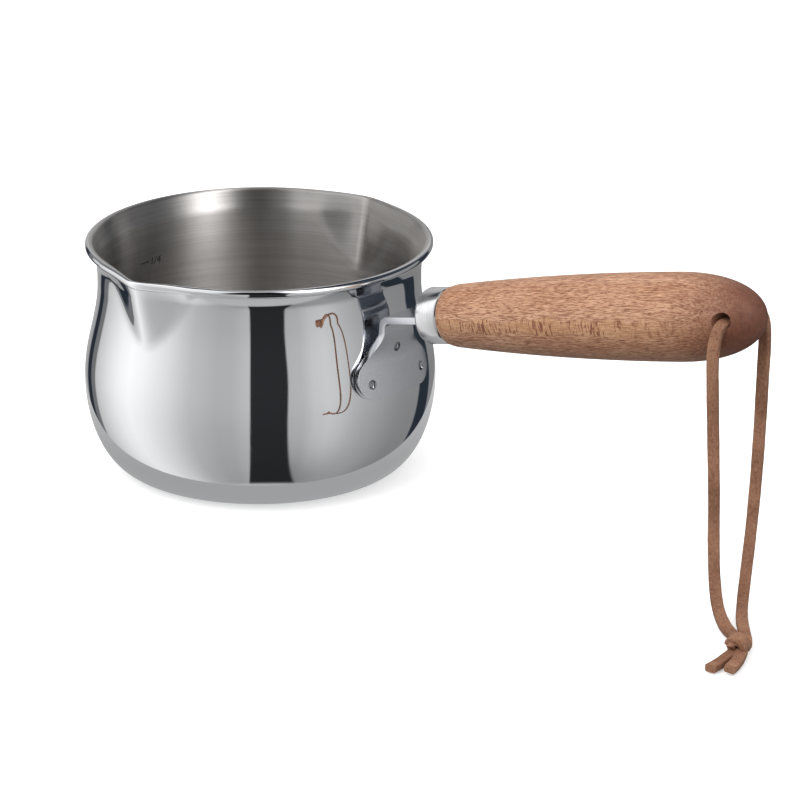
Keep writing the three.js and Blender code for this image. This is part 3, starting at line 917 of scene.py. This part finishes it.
# ---------- handle


def handle_matrix():
    """Places a piece that is turned round its X axis on the handle's axis."""
    return Matrix.Translation(HANDLE_START) @ Matrix.Rotation(-HANDLE_ANGLE, 4, "Y")


def grip_radius(s):
    """Radius of the grip at a distance from the ferrule: it swells and closes in a blunt end."""
    s = np.asarray(s, float)
    left = 1 - np.clip(s / GRIP_SWELL, 0, 1)
    short = np.clip(1 - s / GRIP_SHOULDER, 0, 1)
    swell = GRIP_START_RADIUS + (GRIP_RADIUS - GRIP_START_RADIUS) * (1 - left**2)
    swell -= GRIP_SHOULDER_DROP * short**2
    out = np.clip((s - GRIP_SWELL) / (GRIP_LENGTH - GRIP_SWELL), 0, 1)
    end = GRIP_RADIUS * (1 - out**GRIP_END_POWER) ** (1 / GRIP_END_POWER)
    return np.where(s < GRIP_SWELL, swell, end)


def make_grip():
    shoulder = float(grip_radius(GRIP_GAP))
    profile = [
        (0, -SPIGOT_LENGTH), (SPIGOT_RADIUS, -SPIGOT_LENGTH), (SPIGOT_RADIUS, GRIP_GAP),
        (shoulder - GRIP_CORNER[0], GRIP_GAP), (shoulder, GRIP_GAP + GRIP_CORNER[1]),
    ]
    for s in np.linspace(0.5 * MM, GRIP_SWELL, 70):
        profile.append((float(grip_radius(s)), float(s)))
    for t in np.linspace(0, 1, 60)[1:]:
        s = GRIP_SWELL + (GRIP_LENGTH - GRIP_SWELL) * math.sin(math.pi / 2 * t)
        profile.append((float(grip_radius(s)) if t < 1 else 0.0, s))
    grip = turned("grip", profile, 144, axis="x")
    half = 20 * MM
    hole = turned("hole", [(0, -half), (HOLE_RADIUS, -half), (HOLE_RADIUS, half), (0, half)], 64)
    hole.data.transform(
        Matrix.Translation((HOLE_ALONG, 0, HOLE_ABOVE_AXIS)) @ Matrix.Rotation(math.pi / 2, 4, "X")
    )
    cut(grip, hole)
    round_edges(grip, HOLE_ROUNDING, 40, segments=2)
    grip.data.transform(handle_matrix())
    finish_piece(grip, "pot", "wood", oiled_wood(), "wooden_grip")


def make_ferrule():
    """A cup with a rounded closed end, and a slot in that end for the bracket's tongue."""
    inside = FERRULE_RADIUS - FERRULE_WALL
    profile = [(0, -FERRULE_LENGTH), (FERRULE_RADIUS - FERRULE_BEVEL, -FERRULE_LENGTH)]
    steps = 8
    for i in range(1, steps + 1):
        a = math.pi / 2 * i / steps
        profile.append((
            FERRULE_RADIUS - FERRULE_BEVEL * (1 - math.sin(a)),
            -FERRULE_LENGTH + FERRULE_BEVEL * (1 - math.cos(a)),
        ))
    profile += [(FERRULE_RADIUS - inwards, along) for inwards, along in MOUTH_EDGE]
    profile += [
        (inside, 0), (inside, -FERRULE_LENGTH + FERRULE_END), (0, -FERRULE_LENGTH + FERRULE_END),
    ]
    ferrule = turned("ferrule", profile, 144, axis="x")
    slot = bpy.data.meshes.new("slot")
    work = bmesh.new()
    bmesh.ops.create_cube(work, size=1)
    work.to_mesh(slot)
    work.free()
    slot.transform(
        Matrix.Translation((-FERRULE_LENGTH, 0, 0))
        @ Matrix.Diagonal((4 * MM, 2 * NECK_HALF + SLOT_GAP, PLATE + SLOT_GAP, 1))
    )
    cut(ferrule, link("slot", slot))
    sharpen(ferrule, 40)
    ferrule.matrix_world = handle_matrix()
    finish_piece(ferrule, "pot", "brushed_steel", turned_steel(), "ferrule")


# ---------- volume mark


def make_mark():
    """A tick and a generic number, etched on the inside of the wall near its top."""
    words = bpy.data.curves.new("mark", "FONT")
    words.body = "1/4"
    words.size = MARK_HEIGHT * MARK_FONT
    words.extrude = MARK_RELIEF
    text = bpy.data.objects.new("volume_mark_text", words)
    scene.collection.objects.link(text)
    shown = text.evaluated_get(bpy.context.evaluated_depsgraph_get())
    mesh = bpy.data.meshes.new_from_object(shown)
    bpy.data.objects.remove(text)
    flat = [tuple(v.co) for v in mesh.vertices]
    tick = len(flat)
    for x, y in TICK_CORNERS:
        flat.append((x * MM, y * MM, MARK_RELIEF))
    faces = [tuple(p.vertices) for p in mesh.polygons]
    faces.append((tick, tick + 1, tick + 2, tick + 3))
    points = []
    for x, y, z in flat:
        high = MARK_LOW + y
        radius = float(wall_radius(high)) - SHEET - MARK_RELIEF - z
        a = MARK_ANGLE - x / radius
        points.append((radius * math.cos(a), radius * math.sin(a), high))
    mark = mesh_piece("volume_mark", points, faces, False)
    finish_piece(mark, "pot", "brushed_steel", etched_mark())


make_bracket()
make_welds()
make_ferrule()
make_grip()
make_mark()


# ---------- studio

FLOOR_TONE = (0.93, 0.93, 0.93, 1)
FLOOR_PALE = (0.95, 0.95, 0.95, 1)
FLOOR_GLOW = 0.4
FLOOR_HALF = 3
FLOOR_DROP = 0.3 * MM

# The screens round the pot, which only reflections see: bearing in degrees, brightness there.
TENT_TONES = [
    (-180, 0.5), (-156, 0.45), (-152, 0.36), (-149.5, 0.03), (-142, 0.035), (-140.5, 0.2),
    (-134, 0.2), (-132, 0.66), (-117, 0.90), (-103, 1.12), (-92, 1.22), (-81, 1.14), (-71, 1.01),
    (-61, 0.88), (-52, 0.73), (-44, 0.62), (-36, 0.57), (-27, 0.52), (-17, 0.52), (-5, 0.62),
    (17.5, 0.52), (28, 0.55), (36, 0.66), (45, 0.71), (53, 0.66), (62, 0.56), (72, 0.48),
    (92, 0.37), (104, 0.32), (118, 0.30), (125, 0.30), (127, 0.035), (143, 0.035), (145, 0.27),
    (170, 0.27), (180, 0.5),
]
# The same for the screens higher up, which the inside of the pot sees.
TENT_HIGH_TONES = [
    (-180, 0.6), (-160, 0.5), (-148, 0.3), (-135, 0.2), (-108, 0.2), (-97, 1.3), (-72, 1.3),
    (-64, 0.95), (-30, 0.9), (-24, 0.5), (-19, 0.01), (17, 0.01), (24, 0.6), (31, 1.9), (39, 3.9),
    (49, 3.8), (59, 1.4), (70, 0.2), (80, 0.05), (135, 0.05), (150, 0.3), (162, 0.6), (180, 0.6),
]
# Brightness up and down: height angle in degrees, factor there.
TENT_FADE = [(-90, 0.62), (-70, 0.70), (-50, 0.78), (-20, 0.90), (0, 1.0), (30, 1.05), (90, 1.1)]
TENT_RADIUS = 1.1
TENT_SECTORS = 480
TENT_ROWS = 90
# Height angles, in degrees, between which the higher screens, the zenith and, downwards, the
# ground take over.
HIGH_RISE = (12, 22)
ZENITH_RISE = (70, 86)
ZENITH_TONE = 0.45
GROUND_DROP = (63, 67)
GROUND_TONE = 0.75
# Dark gap between the front screens, which runs down to the floor: its sides, as shares of a
# sight line that point to the viewer's right, and how soft they are.
GAP_LEFT = -0.088
GAP_LEFT_BLUR = 0.007
GAP_RIGHT = 0.32
GAP_RIGHT_BLUR = 0.012
GAP_LEAN = 0.055
GAP_TONE = 0.028
# The screen to the right of the gap gets darker towards the floor.
SIDE_SHADE = 0.45
SIDE_START = (12, 18)
SIDE_END = (40, 80)
SIDE_DROP = (20, 64)
# A dark flag behind the pot: the height angles of its lower and upper edge, the bearings of its
# sides, and how much light it takes.
FLAG_BOTTOM = (48, 51)
FLAG_TOP = (63, 66)
FLAG_SIDE = (122, 132)
FLAG_SHADE = 0.93
# Tones under DARK_TONE are tinted by these shares of red, green, blue and alpha, least in front.
DARK_TONE = 0.2
DARK_TINT = (-0.25, 0, 0.4, 0)
FRONT_TINT = 0.25
FRONT_SIDE = (25, 60)

PLINTH_WIDE = 68 * MM
PLINTH_DEEP = 90.7 * MM
PLINTH_BACK = 45 * MM
PLINTH_DROP = 0.2 * MM
# Distance from the middle, brightness there. The grey near the middle is a painted shadow of the
# pot.
PLINTH_TONE_NEAR = (45 * MM, 0.42)
PLINTH_TONE_FAR = (130 * MM, 0.85)

# The background, as (place between straight down, 0, and straight up, 1; brightness there).
GROUND_BACK = (0.25, 0.16)
SKY_BACK = (0.52, 1)
LAMP_PLACE = Vector((-0.1, -0.7, 0.9))
LAMP_TARGET = Vector((0.06, 0, 0.04))
LAMP_SIZE = 0.9
LAMP_POWER = 5


def bearing(x, y):
    """Angle around the pot, in degrees, from the camera's direction towards the viewer's right."""
    a = VIEW_AZIMUTH
    forward = x * math.sin(a) - y * math.cos(a)
    right = x * math.cos(a) + y * math.sin(a)
    return math.degrees(math.atan2(right, forward))


def make_floor():
    """Plain pale floor, seen by the camera only and a little bright by itself."""
    h = FLOOR_HALF
    corners = [(-h, -h, 0), (h, -h, 0), (h, h, 0), (-h, h, 0)]
    floor = mesh_piece("floor", corners, [(0, 1, 2, 3)], False)
    floor.location.z = -FLOOR_DROP
    s = Shader(
        "floor", Roughness=0.9, Specular_IOR_Level=0.1,
        Emission_Color=(1, 1, 1, 1), Emission_Strength=FLOOR_GLOW,
    )
    cloud = s.noise(s.place((1, 1, 1)), 3, detail=2)
    s.join(s.blend(cloud, FLOOR_TONE, FLOOR_PALE), "Base Color")
    floor.data.materials.append(s.material)
    floor.visible_glossy = False
    floor.visible_diffuse = False


def tone_at(table, place):
    """Reads a brightness from a table of (place, brightness)."""
    return float(np.interp(place, *zip(*table)))


def tent_tone(around, up):
    """Brightness of the screens at a bearing and a height angle, both in degrees."""
    level = math.cos(math.radians(up))
    right = level * math.sin(math.radians(around))
    forward = level * math.cos(math.radians(around))

    tone = tone_at(TENT_TONES, around)
    side = smoothstep(around, *SIDE_START) * (1 - smoothstep(around, *SIDE_END))
    tone *= 1 - SIDE_SHADE * side * smoothstep(-up, *SIDE_DROP)

    right_edge = GAP_RIGHT + GAP_LEAN * math.sin(math.radians(up))
    gap = smoothstep(right, GAP_LEFT - GAP_LEFT_BLUR, GAP_LEFT + GAP_LEFT_BLUR)
    gap *= 1 - smoothstep(right, right_edge - GAP_RIGHT_BLUR, right_edge + GAP_RIGHT_BLUR)
    gap *= smoothstep(forward, 0, 0.1)
    tone += (GAP_TONE - tone) * gap

    tone += (tone_at(TENT_HIGH_TONES, around) - tone) * smoothstep(up, *HIGH_RISE)
    tone += (GROUND_TONE - tone) * smoothstep(-up, *GROUND_DROP)
    tone += (ZENITH_TONE - tone) * smoothstep(up, *ZENITH_RISE)
    flag = smoothstep(up, *FLAG_BOTTOM) * (1 - smoothstep(up, *FLAG_TOP))
    tone *= 1 - FLAG_SHADE * flag * smoothstep(abs(around), *FLAG_SIDE)
    return float(tone) * tone_at(TENT_FADE, up)


def make_tent():
    """A glowing ball around everything, painted with the screens' brightness."""
    points = []
    tones = []
    tints = []
    for row in range(TENT_ROWS + 1):
        up = math.pi * (row / TENT_ROWS - 0.5)
        for i in range(TENT_SECTORS):
            a = 2 * math.pi * i / TENT_SECTORS
            x, y = math.cos(a) * math.cos(up), math.sin(a) * math.cos(up)
            points.append((TENT_RADIUS * x, TENT_RADIUS * y, TENT_RADIUS * math.sin(up)))
            around = bearing(x, y)
            tones.append(tent_tone(around, math.degrees(up)))
            aside = float(smoothstep(abs(around), *FRONT_SIDE))
            tints.append(FRONT_TINT + (1 - FRONT_TINT) * aside)
    mesh = bpy.data.meshes.new("tent")
    mesh.from_pydata(points, [], grid_faces(TENT_ROWS + 1, TENT_SECTORS, True))
    tent = link("tent", mesh)
    paint = mesh.color_attributes.new("tone", "FLOAT_COLOR", "POINT")
    tones = np.array(tones)
    tint = (1 - np.clip(tones / DARK_TONE, 0, 1)) * np.array(tints)
    colours = np.stack([tones * (1 + share * tint) for share in DARK_TINT], axis=1)
    paint.data.foreach_set("color", colours.ravel().astype(np.float32))
    tree, glow = glowing_material(mesh, "tent")
    tone = tree.nodes.new("ShaderNodeVertexColor")
    tone.layer_name = "tone"
    tree.links.new(tone.outputs["Color"], glow.inputs["Color"])
    only_in_reflections(tent)


def glowing_material(mesh, name):
    """Gives a mesh a material that only glows. The caller joins up its colour."""
    material = bpy.data.materials.new(name)
    material.use_nodes = True
    tree = material.node_tree
    tree.nodes.clear()
    glow = tree.nodes.new("ShaderNodeEmission")
    end = tree.nodes.new("ShaderNodeOutputMaterial")
    tree.links.new(glow.outputs[0], end.inputs["Surface"])
    mesh.materials.append(material)
    return tree, glow


def only_in_reflections(piece):
    piece.visible_camera = False
    piece.visible_diffuse = False
    piece.visible_shadow = False


def make_plinth():
    """Disc under the pot that only glows, seen only in its belly's reflections: grey near it as a
    painted shadow of the pot, paler further out.
    """
    a = VIEW_AZIMUTH
    points = [(0, 0, 0)]
    sectors = 96
    for i in range(sectors):
        t = 2 * math.pi * i / sectors
        right = PLINTH_WIDE * math.cos(t)
        forward = PLINTH_DEEP * math.sin(t) - PLINTH_BACK
        x = right * math.cos(a) + forward * math.sin(a)
        y = right * math.sin(a) - forward * math.cos(a)
        points.append((x, y, 0))
    faces = [(0, 1 + i, 1 + (i + 1) % sectors) for i in range(sectors)]
    plinth = mesh_piece("plinth", points, faces, False)
    plinth.location.z = -PLINTH_DROP
    tree, glow = glowing_material(plinth.data, "plinth")
    where = tree.nodes.new("ShaderNodeTexCoord")
    away = tree.nodes.new("ShaderNodeVectorMath")
    away.operation = "LENGTH"
    tone = tree.nodes.new("ShaderNodeMapRange")
    for end, (place, brightness) in (("Min", PLINTH_TONE_NEAR), ("Max", PLINTH_TONE_FAR)):
        tone.inputs["From " + end].default_value = place
        tone.inputs["To " + end].default_value = brightness
    tree.links.new(where.outputs["Object"], away.inputs[0])
    tree.links.new(away.outputs["Value"], tone.inputs["Value"])
    tree.links.new(tone.outputs["Result"], glow.inputs["Color"])
    only_in_reflections(plinth)


def make_lights():
    """A pale sky over a grey ground, and a soft lamp in front, to the viewer's left, that
    reflections don't see."""
    world = bpy.data.worlds.new("studio")
    scene.world = world
    world.use_nodes = True
    tree = world.node_tree
    place = tree.nodes.new("ShaderNodeTexCoord")
    axes = tree.nodes.new("ShaderNodeSeparateXYZ")
    tree.links.new(place.outputs["Generated"], axes.inputs[0])
    shift = tree.nodes.new("ShaderNodeMapRange")
    tree.links.new(axes.outputs["Z"], shift.inputs["Value"])
    shift.inputs["From Min"].default_value = -1
    ramp = tree.nodes.new("ShaderNodeValToRGB")
    tree.links.new(shift.outputs["Result"], ramp.inputs["Fac"])
    for stop, (where, tone) in zip(ramp.color_ramp.elements, (GROUND_BACK, SKY_BACK)):
        stop.position = where
        stop.color = (tone, tone, tone, 1)
    tree.links.new(ramp.outputs["Color"], tree.nodes["Background"].inputs["Color"])

    data = bpy.data.lights.new("lamp", "AREA")
    data.energy = LAMP_POWER
    data.size = LAMP_SIZE
    lamp = bpy.data.objects.new("lamp", data)
    lamp.location = LAMP_PLACE
    lamp.rotation_mode = "QUATERNION"
    lamp.rotation_quaternion = (LAMP_TARGET - LAMP_PLACE).to_track_quat("-Z", "Y")
    lamp.visible_glossy = False
    scene.collection.objects.link(lamp)
    scene.view_settings.view_transform = "Standard"


make_floor()
make_tent()
make_plinth()
make_lights()
